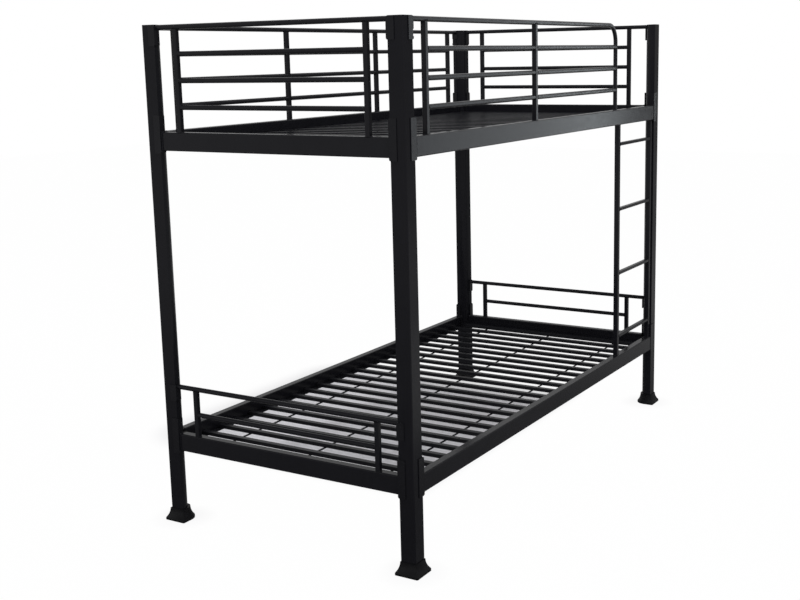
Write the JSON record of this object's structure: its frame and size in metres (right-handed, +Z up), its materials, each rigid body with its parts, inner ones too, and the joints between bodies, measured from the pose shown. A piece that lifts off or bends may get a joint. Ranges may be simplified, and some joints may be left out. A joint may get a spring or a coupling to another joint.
{
  "type": "bunk bed",
  "caption": "Tubular steel bunk bed with quadrant posts on flared feet, guard rails round the upper bed, slatted bases and a fixed ladder at one end of the front.",
  "frame": {"origin": "on the floor, in the middle of the four feet", "axes": "+X along the bed towards the ladder's end, -Y towards the side with the ladder, +Z up"},
  "size_m": [2.076, 1.012, 1.657],
  "materials": {
    "frame_paint": "smooth black powder coat with a soft shine",
    "bracket_paint": "smooth black powder coat with a soft shine",
    "base_paint": "black powder coat, a little duller than the frame",
    "foot_plastic": "black moulded plastic",
    "cap_plastic": "black moulded plastic"
  },
  "bodies": {
    "root": {"post_front_left": "frame_paint", "post_front_right": "frame_paint", "post_back_left": "frame_paint", "post_back_right": "frame_paint", "foot_front_left": "foot_plastic", "foot_front_right": "foot_plastic", "foot_back_left": "foot_plastic", "foot_back_right": "foot_plastic", "post_caps": "cap_plastic", "sockets_front_left": "bracket_paint", "sockets_front_right": "bracket_paint", "sockets_back_left": "bracket_paint", "sockets_back_right": "bracket_paint", "upper_left_rail": "frame_paint", "upper_left_top_bar": "frame_paint", "upper_left_bars": "frame_paint", "upper_left_uprights": "frame_paint", "upper_left_brackets": "bracket_paint", "upper_right_rail": "frame_paint", "upper_right_top_bar": "frame_paint", "upper_right_bars": "frame_paint", "upper_right_uprights": "frame_paint", "upper_right_brackets": "bracket_paint", "upper_back_rail": "frame_paint", "upper_back_top_bar": "frame_paint", "upper_back_bars": "frame_paint", "upper_back_uprights": "frame_paint", "upper_back_brackets": "bracket_paint", "upper_front_rail": "frame_paint", "upper_front_guard_tube": "frame_paint", "upper_front_bars": "frame_paint", "upper_front_uprights": "frame_paint", "upper_front_brackets": "bracket_paint", "lower_left_rail": "frame_paint", "lower_left_top_bar": "frame_paint", "lower_left_mid_bar": "frame_paint", "lower_left_uprights": "frame_paint", "lower_left_brackets": "bracket_paint", "lower_right_rail": "frame_paint", "lower_right_top_bar": "frame_paint", "lower_right_mid_bar": "frame_paint", "lower_right_uprights": "frame_paint", "lower_right_brackets": "bracket_paint", "lower_back_rail": "frame_paint", "lower_back_brackets": "bracket_paint", "lower_front_rail": "frame_paint", "lower_front_brackets": "bracket_paint", "ladder_left_upright": "frame_paint", "ladder_right_upright": "frame_paint", "rung_1": "frame_paint", "rung_2": "frame_paint", "rung_3": "frame_paint", "rung_4": "frame_paint", "upper_slats": "base_paint", "upper_tie_wires": "base_paint", "upper_ledges": "base_paint", "lower_slats": "base_paint", "lower_tie_wires": "base_paint", "lower_ledges": "base_paint"}
  },
  "joints": []
}
